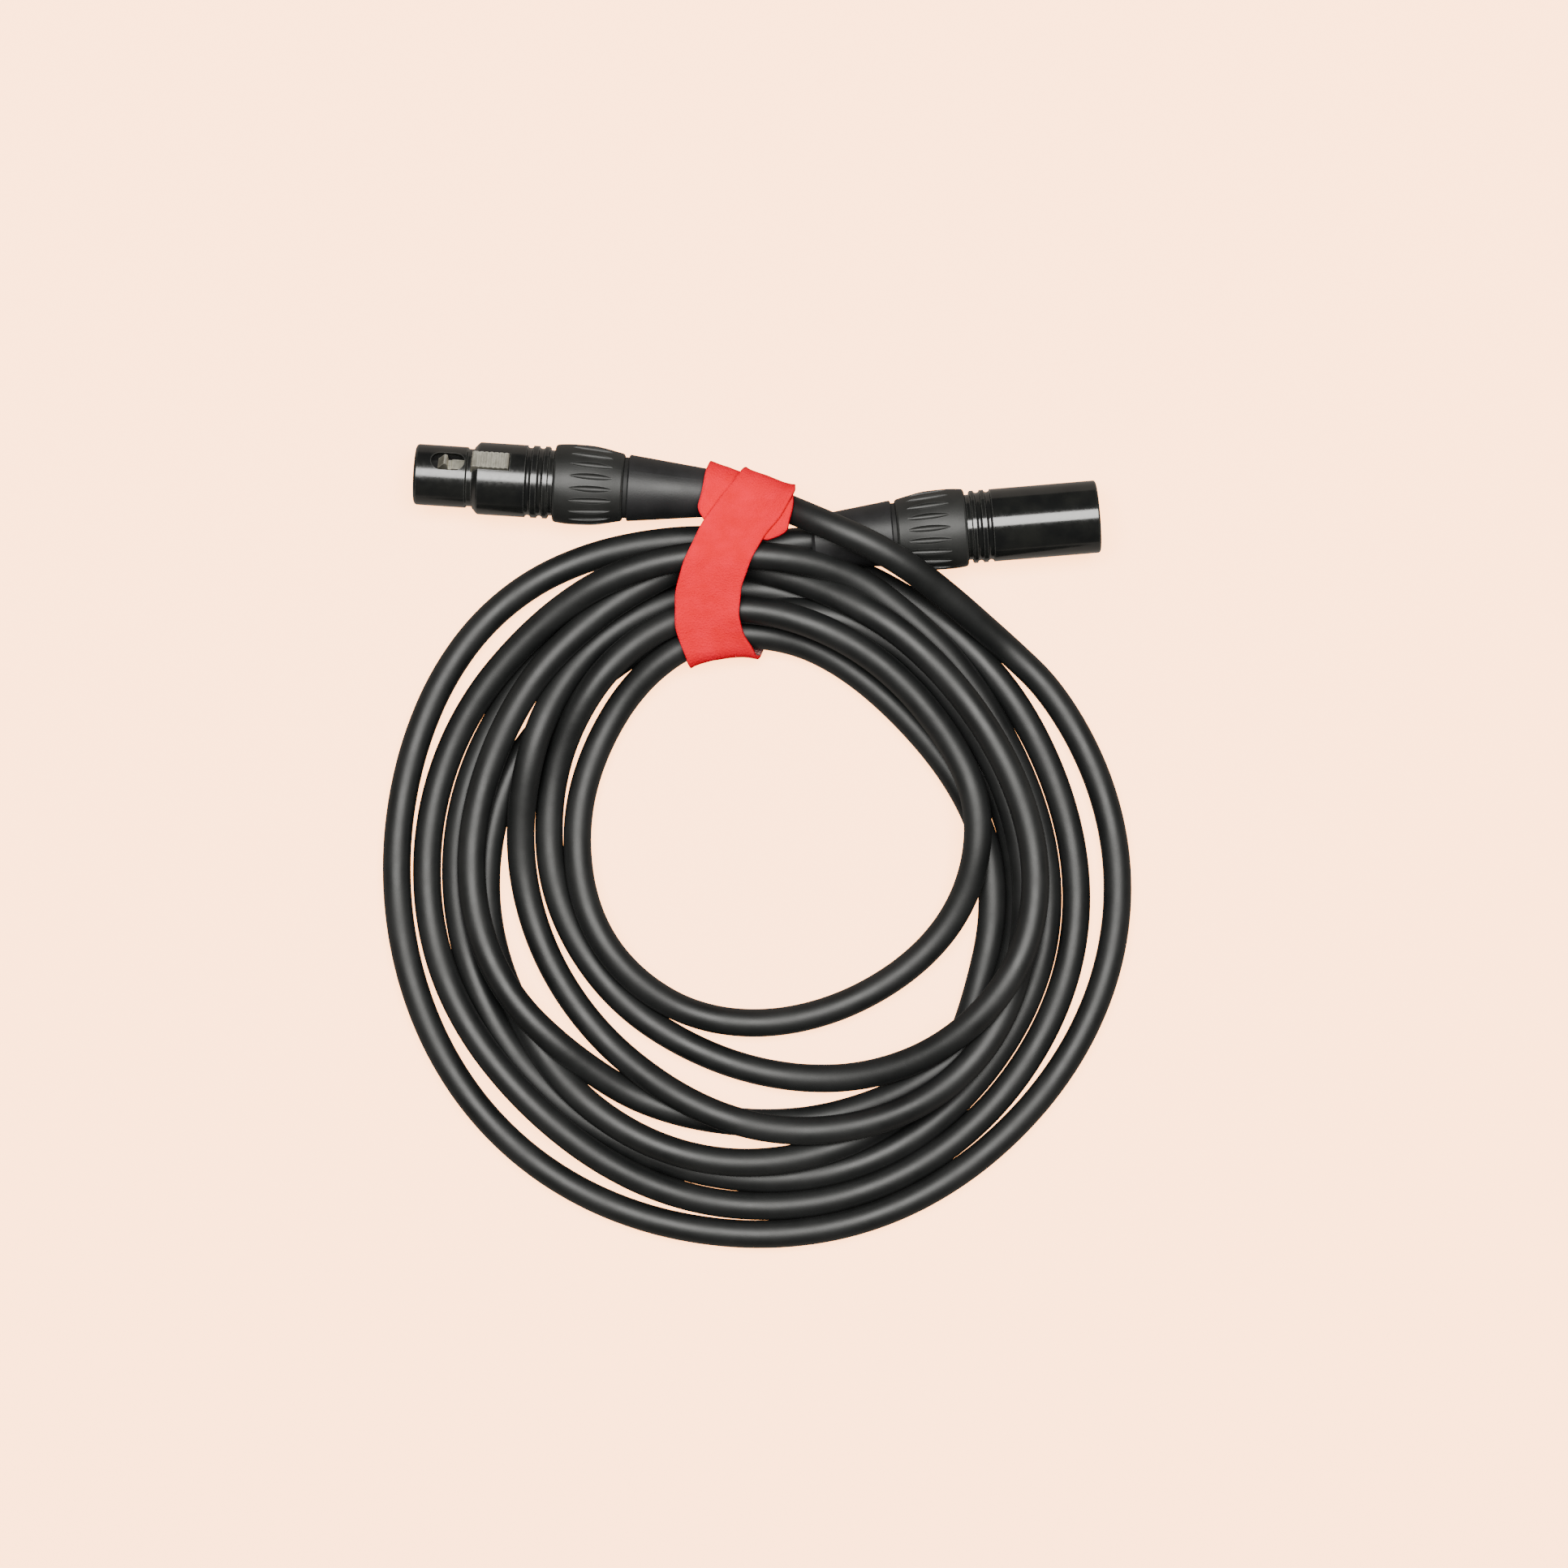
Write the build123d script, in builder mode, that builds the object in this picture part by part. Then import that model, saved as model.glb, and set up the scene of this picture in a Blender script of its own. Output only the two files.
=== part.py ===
from build123d import *
from math import cos, pi, radians, sin, tan
import os

# A microphone cable with a female and a male three-pin connector, wound into a flat coil
# of eight turns and held by a hook-and-loop tie. Millimetres, +Z up, the coil lies on
# z = 0. The origin is the middle of the whole object's outline, on the surface below it.
# In each connector s is the distance along its axis from its open end to its cable,
# and r is the distance from that axis.

# ---------------------------------------------------------------- driving dimensions
CABLE_R = 3.7                       # 7.4 mm microphone cable
AXIS_HEIGHT = 10.6                  # both connectors lie on their collars
FIT = 0.05                          # running clearance of a fit
AIR = 0.3                           # air between pieces that move past each other

FEMALE_NOSE = (-90.8, 97.592)       # middle of the female connector's open end
FEMALE_HEADING = -3.7               # its axis, from the open end to the cable, from +X
LATCH_ROLL = -27.0                  # the latch is rolled off the top, towards +Y
MALE_MOUTH = (88.6, 86.47)          # middle of the male connector's open end
MALE_HEADING = 184.8

# female shell
NOSE_R = 8.0
NECK_START = 13.9                   # groove between the nose and the body
NECK_END = 15.2
SHELL_NECK_R = 7.55
BODY_START = 16.9
SHELL_R = 9.5
NOSE_BORE_R = 6.7
REAR_BORE_R = 7.9
FEMALE_BORE_STEP = 26.0
FEMALE_SHELL_END = 36.4
FEMALE_GROOVES = (30.0, 33.1)
RECESS = 1.1                        # plain step of a shell beside its collar
RECESS_R = 8.6
GROOVE_HALF_WIDTH = 0.8
GROOVE_DEPTH = 0.65

# male shell
MALE_SHELL_R = 9.55
MALE_CAVITY_R = 8.25
MALE_BORE_STEP = 22.0
MALE_SHELL_END = 34.6
MALE_GROOVES = (28.8, 31.5)
CATCH_GROOVE = (8.0, 11.6, 8.95)    # from s, to s, and its radius

# contacts 1, 2 and 3, on one circle; a pin faces its socket, so the male order is mirrored
CONTACT_CIRCLE_R = 4.6
SOCKET_ANGLES = (155.0, 25.0, -90.0)
PIN_ANGLES = tuple(180.0 - angle for angle in SOCKET_ANGLES)
PIN_R = 1.195                       # 2.39 mm pins
SOCKET_R = 1.25
SLEEVE_R = 1.5                      # outside of a socket, and a pin's seat
CUP_R = 1.2
PIN_TIP = 1.6
MALE_FACE = 13.2
MALE_INSERT_R = 8.2
FEMALE_FACE = 0.9
INSERT_R = 6.65
FLANGE_R = 7.85

# latch lever
LATCH_WIDTH = 4.6
CATCH_WIDTH = 2.8                   # the lever's front, seen through the window
SLOT_HALF = 2.6
WINDOW_START = 4.4                  # oval window of the catch, in the nose
WINDOW_END = 13.2
SLOT_START = 14.8                   # slot of the push tab, in the body
SLOT_END = 25.1
CHANNEL_FLOOR = 3.3
PIVOT_S = 27.0
PIVOT_R = 5.2
PIVOT_PIN_R = 0.6

# collar, coding ring and boot, from the plane where the collar meets the shell
COLLAR_LENGTH = 18.3
COLLAR_R = 10.5
SPIGOT_R = REAR_BORE_R - FIT
SPIGOT_LENGTH = 7.4
COLLAR_BORE_R = 6.6
NECK_R = 7.4
RING_WIDTH = 1.1
RING_R = 8.0
BOOT_LENGTH = 21.3
BOOT_R = 8.75
BOOT_END_R = 6.3
BOOT_BORE_R = CABLE_R + AIR
FLUTES = 20
FLUTE_START = (3.4, 0.3)            # ends of a flute's middle line: from the seat, and
FLUTE_END = (17.0, -0.85)           # off the collar's radius
FLUTE_R = 0.85
FEMALE_SEAT = FEMALE_SHELL_END + 0.2
MALE_SEAT = MALE_SHELL_END + 0.2

# cable inside the connectors
CHUCK_R = COLLAR_BORE_R - AIR
CHUCK_LENGTH = 11.0
CORE_R = 0.9

# coil: reach from its middle at the clock angles, counted from +X towards +Y
COIL_MIDDLE = (1.6, -2.93)
COIL_TOP = 16.0
OUTER_REACH = ((0, 97.0), (16, 94.3), (32, 90.8), (41, 87.5), (50, 79.2), (60, 79.0),
               (75, 77.6), (90, 75.6), (99, 76.0), (109, 88.5), (122, 97.5), (137, 102.3),
               (165, 100.7), (182, 100.6), (200, 103.4), (225, 106.2), (255, 104.4),
               (285, 101.6), (315, 100.1), (340, 98.8))
INNER_REACH = ((5, 51.9), (40, 46.5), (65, 49.2), (90, 56.1), (105, 59.0), (130, 52.3),
               (165, 47.2), (200, 46.3), (235, 43.6), (270, 39.7), (300, 39.9),
               (335, 46.4))

# tie: a band of hook-and-loop tape, its long side leaning off +Y
TIE_MIDDLE = (-6.6, 73.67)
TIE_LEAN = 14.0
TIE_WIDTH = 16.0
TIE_LENGTH = 53.0
TIE_HEIGHT = 21.6
TIE_CORNER = 8.0
TAPE = 1.2
TAIL_GAP = 0.3
TAIL_FOLD = -22.0                   # where the free end bends when it is peeled
TAIL_LIP = 11.0                     # height that the free end's lip comes down to


# ---------------------------------------------------------------- frames and helpers
def side_plane(end, heading, roll=0.0):
    """Plane through a connector's axis: x is s, y is r, y points up before the roll."""
    along = Vector(1, 0, 0).rotate(Axis.Z, heading)
    sideways = Vector(0, -1, 0).rotate(Axis.Z, heading).rotate(Axis((0, 0, 0), along), roll)
    return Plane(origin=(end[0], end[1], AXIS_HEIGHT), x_dir=along, z_dir=sideways)


def cross_plane(side, s):
    """Plane across a connector at s: y is the side plane's y, normal towards the cable."""
    return Plane(origin=side.from_local_coords((s, 0, 0)), x_dir=-side.z_dir, z_dir=side.x_dir)


def axis_of(side):
    return Axis(side.origin, side.x_dir)


def turned(side, outline):
    """Solid of revolution about a connector's axis, from its (s, r) outline."""
    with BuildPart() as piece:
        with BuildSketch(side):
            with BuildLine():
                Polyline(*outline, close=True)
            make_face()
        revolve(axis=axis_of(side))
    return piece.part


def polar(radius, angle):
    return (radius * cos(radians(angle)), radius * sin(radians(angle)))


def save(piece, label):
    piece.label = label
    export_step(piece, f"parts/{label}.step")
    print(f"{label}: {piece.volume:.1f} mm3")


os.makedirs("parts", exist_ok=True)
female = side_plane(FEMALE_NOSE, FEMALE_HEADING, LATCH_ROLL)
male = side_plane(MALE_MOUTH, MALE_HEADING)


# ---------------------------------------------------------------- female connector
latch_view = Plane(origin=female.origin, x_dir=female.x_dir, z_dir=female.y_dir)

with BuildPart() as female_shell:
    with BuildSketch(female):
        with BuildLine():
            Polyline(
                (0, NOSE_BORE_R), (0, NOSE_R - 0.7), (0.2, NOSE_R - 0.3), (0.7, NOSE_R),
                (NECK_START - 0.4, NOSE_R), (NECK_START, SHELL_NECK_R),
                (NECK_END, SHELL_NECK_R), (NECK_END + 0.2, NOSE_R + 0.1),
                (BODY_START - 0.4, SHELL_R - 0.2), (BODY_START, SHELL_R),
                (FEMALE_SHELL_END - RECESS - 0.3, SHELL_R),
                (FEMALE_SHELL_END - RECESS, SHELL_R - 0.3),
                (FEMALE_SHELL_END - RECESS, RECESS_R), (FEMALE_SHELL_END, RECESS_R),
                (FEMALE_SHELL_END, REAR_BORE_R), (FEMALE_BORE_STEP, REAR_BORE_R),
                (FEMALE_BORE_STEP, NOSE_BORE_R), close=True,
            )
        make_face()
    revolve(axis=axis_of(female))
    with BuildSketch(female):
        with Locations(*[(s, SHELL_R) for s in FEMALE_GROOVES]):
            Ellipse(GROOVE_HALF_WIDTH, GROOVE_DEPTH)
    revolve(axis=axis_of(female), mode=Mode.SUBTRACT)
    with BuildSketch(female):
        with Locations(((SLOT_START + SLOT_END) / 2, SHELL_R)):
            Rectangle(SLOT_END - SLOT_START, 8.0)
    extrude(amount=SLOT_HALF, both=True, mode=Mode.SUBTRACT)
    with BuildSketch(latch_view):
        with Locations(((WINDOW_START + WINDOW_END) / 2, 0)):
            SlotOverall(WINDOW_END - WINDOW_START, 2 * SLOT_HALF)
    extrude(amount=2 * SHELL_R, mode=Mode.SUBTRACT)
save(female_shell.part, "female_shell")

with BuildPart() as female_insert:
    with BuildSketch(female):
        with BuildLine():
            Polyline(
                (FEMALE_FACE, 0), (FEMALE_FACE, INSERT_R), (FEMALE_BORE_STEP + 0.1, INSERT_R),
                (FEMALE_BORE_STEP + 0.1, FLANGE_R), (28.4, FLANGE_R), (28.4, 0), close=True,
            )
        make_face()
    revolve(axis=axis_of(female))
    with BuildSketch(female):
        with Locations((14.0, CHANNEL_FLOOR + 3.0)):
            Rectangle(30.0, 6.0)
    extrude(amount=SLOT_HALF, both=True, mode=Mode.SUBTRACT)
    with BuildSketch(cross_plane(female, 0)):
        with Locations(*[polar(CONTACT_CIRCLE_R, angle) for angle in SOCKET_ANGLES]):
            Circle(SLEEVE_R)
    extrude(amount=30.0, mode=Mode.SUBTRACT)
    with BuildSketch(female):
        with Locations((PIVOT_S, PIVOT_R)):
            Circle(PIVOT_PIN_R)
    extrude(amount=FLANGE_R, both=True, mode=Mode.SUBTRACT)
save(female_insert.part, "female_insert")

for number, angle in enumerate(SOCKET_ANGLES, start=1):
    with BuildPart() as contact:
        spot = polar(CONTACT_CIRCLE_R, angle)
        with BuildSketch(cross_plane(female, FEMALE_FACE + 0.3)):
            with Locations(spot):
                Circle(SLEEVE_R)
        extrude(amount=25.0)
        with BuildSketch(cross_plane(female, FEMALE_FACE + 0.3)):
            with Locations(spot):
                Circle(SOCKET_R)
        extrude(amount=13.0, mode=Mode.SUBTRACT)
        with BuildSketch(cross_plane(female, FEMALE_FACE + 25.3)):
            with Locations(spot):
                Circle(CUP_R)
        extrude(amount=5.0)
    save(contact.part, f"female_contact_{number}")

with BuildPart() as latch_lever:
    with BuildSketch(female):
        with BuildLine():
            Polyline(
                (6.2, 5.2), (26.2, 4.2), (27.9, 4.4), (28.2, 5.2), (27.9, 6.0), (26.8, 6.1),
                (24.8, 6.3), (24.8, 9.6), (24.4, 9.9), (15.6, 9.9), (15.2, 9.6), (15.2, 6.3),
                (9.9, 6.3), (9.6, 5.9), (8.9, 5.9), (8.7, 8.3), (8.3, 8.7), (7.9, 8.7),
                (6.2, 6.4), close=True,
            )
        make_face()
        with Locations((PIVOT_S, PIVOT_R)):
            Circle(PIVOT_PIN_R + FIT, mode=Mode.SUBTRACT)
    extrude(amount=LATCH_WIDTH / 2, both=True)
    with BuildSketch(female):
        with Locations(*[(17.0 + 1.3 * rib, 9.9) for rib in range(6)]):
            Rectangle(0.5, 0.5)
    extrude(amount=LATCH_WIDTH / 2, both=True, mode=Mode.SUBTRACT)
    with BuildSketch(latch_view):
        with Locations(*[(10.0, edge * (CATCH_WIDTH + LATCH_WIDTH) / 2) for edge in (-1, 1)]):
            Rectangle(9.4, LATCH_WIDTH)
    extrude(amount=2 * SHELL_R, mode=Mode.SUBTRACT)
save(latch_lever.part, "latch_lever")

with BuildPart() as latch_pivot_pin:
    with BuildSketch(female):
        with Locations((PIVOT_S, PIVOT_R)):
            Circle(PIVOT_PIN_R)
    extrude(amount=5.4, both=True)
save(latch_pivot_pin.part, "latch_pivot_pin")

# A strip of spring steel in the insert's channel, its free end bent up under the lever.
with BuildPart() as latch_spring:
    with BuildSketch(female):
        with BuildLine():
            Polyline(
                (25.2, CHANNEL_FLOOR), (17.5, CHANNEL_FLOOR), (13.4, 4.55), (13.5, 4.83),
                (17.6, CHANNEL_FLOOR + 0.3), (25.2, CHANNEL_FLOOR + 0.3), close=True,
            )
        make_face()
    extrude(amount=1.5, both=True)
save(latch_spring.part, "latch_spring")


# ---------------------------------------------------------------- male connector
with BuildPart() as male_shell:
    with BuildSketch(male):
        with BuildLine():
            Polyline(
                (0, MALE_CAVITY_R + 0.3), (0, MALE_SHELL_R - 0.5), (0.2, MALE_SHELL_R - 0.15),
                (0.5, MALE_SHELL_R), (MALE_SHELL_END - RECESS - 0.3, MALE_SHELL_R),
                (MALE_SHELL_END - RECESS, MALE_SHELL_R - 0.3),
                (MALE_SHELL_END - RECESS, RECESS_R), (MALE_SHELL_END, RECESS_R),
                (MALE_SHELL_END, REAR_BORE_R), (MALE_BORE_STEP, REAR_BORE_R),
                (MALE_BORE_STEP, MALE_CAVITY_R), (0.6, MALE_CAVITY_R), close=True,
            )
        make_face()
    revolve(axis=axis_of(male))
    groove_start, groove_end, groove_r = CATCH_GROOVE
    with BuildSketch(male):
        with Locations(*[(s, MALE_SHELL_R) for s in MALE_GROOVES]):
            Ellipse(GROOVE_HALF_WIDTH, GROOVE_DEPTH)
        with Locations(((groove_start + groove_end) / 2, groove_r - 0.5)):
            Rectangle(groove_end - groove_start, 1.0)
    revolve(axis=axis_of(male), mode=Mode.SUBTRACT)
save(male_shell.part, "male_shell")

with BuildPart() as male_insert:
    with BuildSketch(male):
        with BuildLine():
            Polyline(
                (MALE_FACE, 0), (MALE_FACE, MALE_INSERT_R), (MALE_BORE_STEP - 0.1, MALE_INSERT_R),
                (MALE_BORE_STEP - 0.1, INSERT_R), (26.4, INSERT_R), (26.4, 0), close=True,
            )
        make_face()
    revolve(axis=axis_of(male))
    with BuildSketch(cross_plane(male, 0)):
        with Locations(*[polar(CONTACT_CIRCLE_R, angle) for angle in PIN_ANGLES]):
            Circle(SLEEVE_R)
    extrude(amount=30.0, mode=Mode.SUBTRACT)
save(male_insert.part, "male_insert")

for number, angle in enumerate(PIN_ANGLES, start=1):
    with BuildPart() as pin:
        spot = polar(CONTACT_CIRCLE_R, angle)
        with BuildSketch(cross_plane(male, PIN_TIP)):
            with Locations(spot):
                Circle(PIN_R)
        extrude(amount=MALE_FACE - PIN_TIP)
        chamfer(pin.edges().group_by(axis_of(male))[0], 0.5)
        with BuildSketch(cross_plane(male, MALE_FACE)):
            with Locations(spot):
                Circle(SLEEVE_R)
        extrude(amount=12.0)
        with BuildSketch(cross_plane(male, MALE_FACE + 12.0)):
            with Locations(spot):
                Circle(CUP_R)
        extrude(amount=4.0)
    save(pin.part, f"male_pin_{number}")


# ---------------------------------------------------------------- collars, rings, boots
def make_flute(side, seat):
    """Spindle that cuts one flute, pointed at both ends."""
    start = (seat + FLUTE_START[0], COLLAR_R + FLUTE_START[1])
    end = (seat + FLUTE_END[0], COLLAR_R + FLUTE_END[1])
    with BuildPart() as flute:
        with BuildSketch(side):
            with BuildLine():
                chord = Line(start, end)
                middle = chord @ 0.5
                ThreePointArc(start, (middle.X, middle.Y + FLUTE_R), end)
            make_face()
        revolve(axis=Axis(
            side.from_local_coords((*start, 0)),
            side.from_local_coords((*end, 0)) - side.from_local_coords((*start, 0)),
        ))
    return flute.part


def make_collar(side, seat):
    """Screwed bushing: a spigot inside the shell, a fluted grip and a neck for the boot."""
    rear = seat + COLLAR_LENGTH
    flute = make_flute(side, seat)
    with BuildPart() as collar:
        with BuildSketch(side):
            with BuildLine():
                grip = Spline(
                    (seat + 0.6, COLLAR_R - 0.3), (seat + 3.0, COLLAR_R - 0.05),
                    (seat + 7.0, COLLAR_R), (seat + 11.0, COLLAR_R - 0.2),
                    (seat + 14.0, COLLAR_R - 0.75), (rear - 0.6, COLLAR_R - 1.55),
                )
                Polyline(
                    grip @ 1, (rear - 0.2, COLLAR_R - 1.8), (rear, COLLAR_R - 2.2),
                    (rear, NECK_R), (rear + 2.2, NECK_R),
                    (rear + 2.2, CABLE_R + AIR), (rear - 3.5, CABLE_R + AIR),
                    (rear - 3.5, COLLAR_BORE_R), (seat - SPIGOT_LENGTH, COLLAR_BORE_R),
                    (seat - SPIGOT_LENGTH, SPIGOT_R), (seat, SPIGOT_R),
                    (seat, COLLAR_R - 0.9), (seat + 0.2, COLLAR_R - 0.5), grip @ 0,
                )
            make_face()
        revolve(axis=axis_of(side))
        for number in range(FLUTES):
            add(flute.rotate(axis_of(side), 360 * number / FLUTES), mode=Mode.SUBTRACT)
    return collar.part


def make_coding_ring(side, seat):
    front = seat + COLLAR_LENGTH + FIT
    back = front + RING_WIDTH - 2 * FIT
    return turned(side, [
        (front, NECK_R + FIT), (front, RING_R), (back, RING_R), (back, NECK_R + FIT),
    ])


def make_boot(side, seat):
    """Tapered rubber boot, pushed over the collar's neck behind the coding ring."""
    front = seat + COLLAR_LENGTH + RING_WIDTH
    neck_end = seat + COLLAR_LENGTH + 2.2
    end = front + BOOT_LENGTH
    return turned(side, [
        (front, NECK_R), (front, BOOT_R - 0.3), (front + 0.3, BOOT_R),
        (end - 0.8, BOOT_END_R + 0.1), (end, BOOT_END_R - 0.6), (end, BOOT_BORE_R),
        (neck_end, BOOT_BORE_R), (neck_end, NECK_R),
    ])


def make_chuck(side, seat):
    """Split collet that grips the cable where the collar screws it down."""
    front = seat + COLLAR_LENGTH - 4.0 - CHUCK_LENGTH
    with BuildPart() as chuck:
        with BuildSketch(cross_plane(side, front)):
            Circle(CHUCK_R)
            Circle(CABLE_R, mode=Mode.SUBTRACT)
        extrude(amount=CHUCK_LENGTH)
        with BuildSketch(cross_plane(side, front + 3.0)):
            Rectangle(1.0, 3 * CHUCK_R)
            Rectangle(3 * CHUCK_R, 1.0)
        extrude(amount=CHUCK_LENGTH, mode=Mode.SUBTRACT)
    return chuck.part


def make_cable_tail(side, seat):
    """The straight end of the cable, from its jacket's cut end to the boot's mouth."""
    start = seat + COLLAR_LENGTH - 4.0 - CHUCK_LENGTH - 1.0
    end = seat + COLLAR_LENGTH + RING_WIDTH + BOOT_LENGTH
    with BuildPart() as tail:
        with BuildSketch(cross_plane(side, start)):
            Circle(CABLE_R)
        extrude(amount=end - start)
    return tail.part


def make_conductors(side, seat, cups_end):
    """Three insulated cores, from the contacts' solder cups to the cut end of the jacket."""
    jacket_end = seat + COLLAR_LENGTH - 4.0 - CHUCK_LENGTH - 1.0
    with BuildPart() as conductors:
        for angle in SOCKET_ANGLES:
            cup = cross_plane(side, cups_end).from_local_coords(polar(CONTACT_CIRCLE_R, angle))
            core = cross_plane(side, jacket_end).from_local_coords(polar(1.6, angle))
            with BuildLine() as run:
                Line(cup, core)
            with BuildSketch(Plane(origin=cup, z_dir=core - cup)):
                Circle(CORE_R)
            sweep(path=run.line)
    return conductors.part


for name, side, seat, cups_end in (
    ("female", female, FEMALE_SEAT, FEMALE_FACE + 30.3),
    ("male", male, MALE_SEAT, MALE_FACE + 16.0),
):
    save(make_collar(side, seat), f"{name}_collar")
    save(make_coding_ring(side, seat), f"{name}_coding_ring")
    save(make_boot(side, seat), f"{name}_boot")
    save(make_chuck(side, seat), f"{name}_chuck")
    save(make_cable_tail(side, seat), f"{name}_cable_tail")
    save(make_conductors(side, seat, cups_end), f"{name}_conductors")


# ---------------------------------------------------------------- tie
tie_side = Plane(
    origin=(TIE_MIDDLE[0], TIE_MIDDLE[1], TIE_HEIGHT / 2),
    x_dir=Vector(0, 1, 0).rotate(Axis.Z, -TIE_LEAN),
    z_dir=Vector(1, 0, 0).rotate(Axis.Z, -TIE_LEAN),
)

with BuildPart() as tie_band:
    with BuildSketch(tie_side):
        RectangleRounded(TIE_LENGTH, TIE_HEIGHT, TIE_CORNER)
        RectangleRounded(
            TIE_LENGTH - 2 * TAPE, TIE_HEIGHT - 2 * TAPE, TIE_CORNER - TAPE, mode=Mode.SUBTRACT
        )
    extrude(amount=TIE_WIDTH / 2, both=True)
save(tie_band.part, "tie_band")

tail_in = TAIL_GAP
tail_out = TAIL_GAP + TAPE
with BuildPart() as tie_tail:
    with BuildSketch(tie_side):
        RectangleRounded(TIE_LENGTH + 2 * tail_out, TIE_HEIGHT + 2 * tail_out, TIE_CORNER + tail_out)
        RectangleRounded(
            TIE_LENGTH + 2 * tail_in, TIE_HEIGHT + 2 * tail_in, TIE_CORNER + tail_in,
            mode=Mode.SUBTRACT,
        )
        kept_length = TIE_LENGTH / 2 + 3.0 - TAIL_FOLD
        kept_height = TIE_HEIGHT + 3.0 - TAIL_LIP
        with Locations((TAIL_FOLD + kept_length / 2, TAIL_LIP - TIE_HEIGHT / 2 + kept_height / 2)):
            Rectangle(kept_length, kept_height, mode=Mode.INTERSECT)
    extrude(amount=TIE_WIDTH / 2, both=True)
save(tie_tail.part, "tie_tail")


# ---------------------------------------------------------------- cable
def coil_points(reaches):
    """Points of an outline from its reaches, round the coil's middle."""
    middle_x, middle_y = COIL_MIDDLE
    return [
        (middle_x + reach * cos(radians(angle)), middle_y + reach * sin(radians(angle)))
        for angle, reach in reaches
    ]


with BuildPart() as cable_coil:
    with BuildSketch():
        with BuildLine():
            Spline(*coil_points(OUTER_REACH), periodic=True)
        make_face()
        with BuildSketch(mode=Mode.SUBTRACT):
            with BuildLine():
                Spline(*coil_points(INNER_REACH), periodic=True)
            make_face()
    extrude(amount=COIL_TOP)
    add(tie_band.part, mode=Mode.SUBTRACT)
save(cable_coil.part, "cable_coil")


def bend_radii(points):
    """Radius of each corner: 0.45 of its shorter run, over the tangent of half the turn."""
    radii = []
    for before, corner, after in zip(points, points[1:], points[2:]):
        arriving = Vector(*corner) - Vector(*before)
        leaving = Vector(*after) - Vector(*corner)
        half_turn = radians(arriving.get_angle(leaving) / 2)
        radii.append(0.45 * min(arriving.length, leaving.length) / tan(half_turn))
    return radii


def make_lead(label, points):
    """A free stretch of cable: straight runs joined by tangent arcs."""
    radii = bend_radii(points)
    with BuildPart() as lead:
        with BuildLine() as route:
            FilletPolyline(*points, radius=radii)
        with BuildSketch(Plane(origin=route.line @ 0, z_dir=route.line % 0)):
            Circle(CABLE_R)
        sweep(path=route.line)
    save(lead.part, label)
    length = sum(edge.length for edge in route.edges())
    print(f"  length {length:.1f}, section x length {length * pi * CABLE_R**2:.1f}")
    print("  radii", " ".join(f"{radius:.0f}" for radius in radii))


def leave(side, seat, distance):
    """Point on a connector's axis, this far out of its boot's mouth."""
    mouth = seat + COLLAR_LENGTH + RING_WIDTH + BOOT_LENGTH
    point = side.from_local_coords((mouth + distance, 0, 0))
    return (point.X, point.Y, point.Z)


# The female lead runs through the tie, over the male boot and down to the coil's rim.
FEMALE_LEAD = (
    leave(female, FEMALE_SEAT, 0),
    leave(female, FEMALE_SEAT, 8.6),
    (2.2, 90.4, 13.2),
    (10.0, 86.9, 18.9),
    (18.6, 83.0, 22.9),
    (28.5, 78.6, 23.9),
    (39.0, 72.6, 21.2),
    (49.5, 65.0, 13.6),
    (60.5, 55.8, 6.6),
    (66.5, 50.6, 4.1),
)
# The male lead runs through the tie, under the female lead, into the coil.
MALE_LEAD = (
    leave(male, MALE_SEAT, 0),
    leave(male, MALE_SEAT, 9.5),
    (-6.5, 77.9, 9.7),
    (-17.5, 75.3, 8.3),
)
make_lead("cable_lead_female", FEMALE_LEAD)
make_lead("cable_lead_male", MALE_LEAD)
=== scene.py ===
import math

import bpy
import numpy as np
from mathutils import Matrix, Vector


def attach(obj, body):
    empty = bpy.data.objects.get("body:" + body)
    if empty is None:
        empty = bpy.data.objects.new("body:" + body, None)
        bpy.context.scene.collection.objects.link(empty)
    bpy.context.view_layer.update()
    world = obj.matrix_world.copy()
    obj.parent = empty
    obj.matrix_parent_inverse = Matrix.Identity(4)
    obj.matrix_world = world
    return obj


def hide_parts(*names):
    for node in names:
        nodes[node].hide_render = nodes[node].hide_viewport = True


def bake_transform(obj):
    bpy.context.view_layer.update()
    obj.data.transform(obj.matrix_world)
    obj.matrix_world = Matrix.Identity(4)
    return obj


# The looks of a coiled microphone cable: the cable's eight turns, the hook-and-loop tie
# round its bundle, and the materials of both connectors. Metres, in the frame of the
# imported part. The tables of places below are in millimetres.
MM = 0.001

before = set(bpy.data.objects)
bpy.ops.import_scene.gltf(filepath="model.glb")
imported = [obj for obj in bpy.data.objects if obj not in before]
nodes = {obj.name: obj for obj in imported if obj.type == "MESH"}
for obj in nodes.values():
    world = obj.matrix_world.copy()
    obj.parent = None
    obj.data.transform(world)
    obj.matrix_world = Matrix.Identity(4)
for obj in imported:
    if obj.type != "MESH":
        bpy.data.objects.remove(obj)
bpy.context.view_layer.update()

CABLE_R = 3.7
COIL_MIDDLE = np.array((1.6, -2.93))


# ---------------------------------------------------------------- camera
camera_data = bpy.data.cameras.new("camera")
camera_data.lens = 100.0
camera_data.sensor_width = 36.0
camera = bpy.data.objects.new("camera", camera_data)
camera.location = (0.0061, 0.0161, 1.156)
bpy.context.collection.objects.link(camera)
bpy.context.scene.camera = camera


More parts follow.
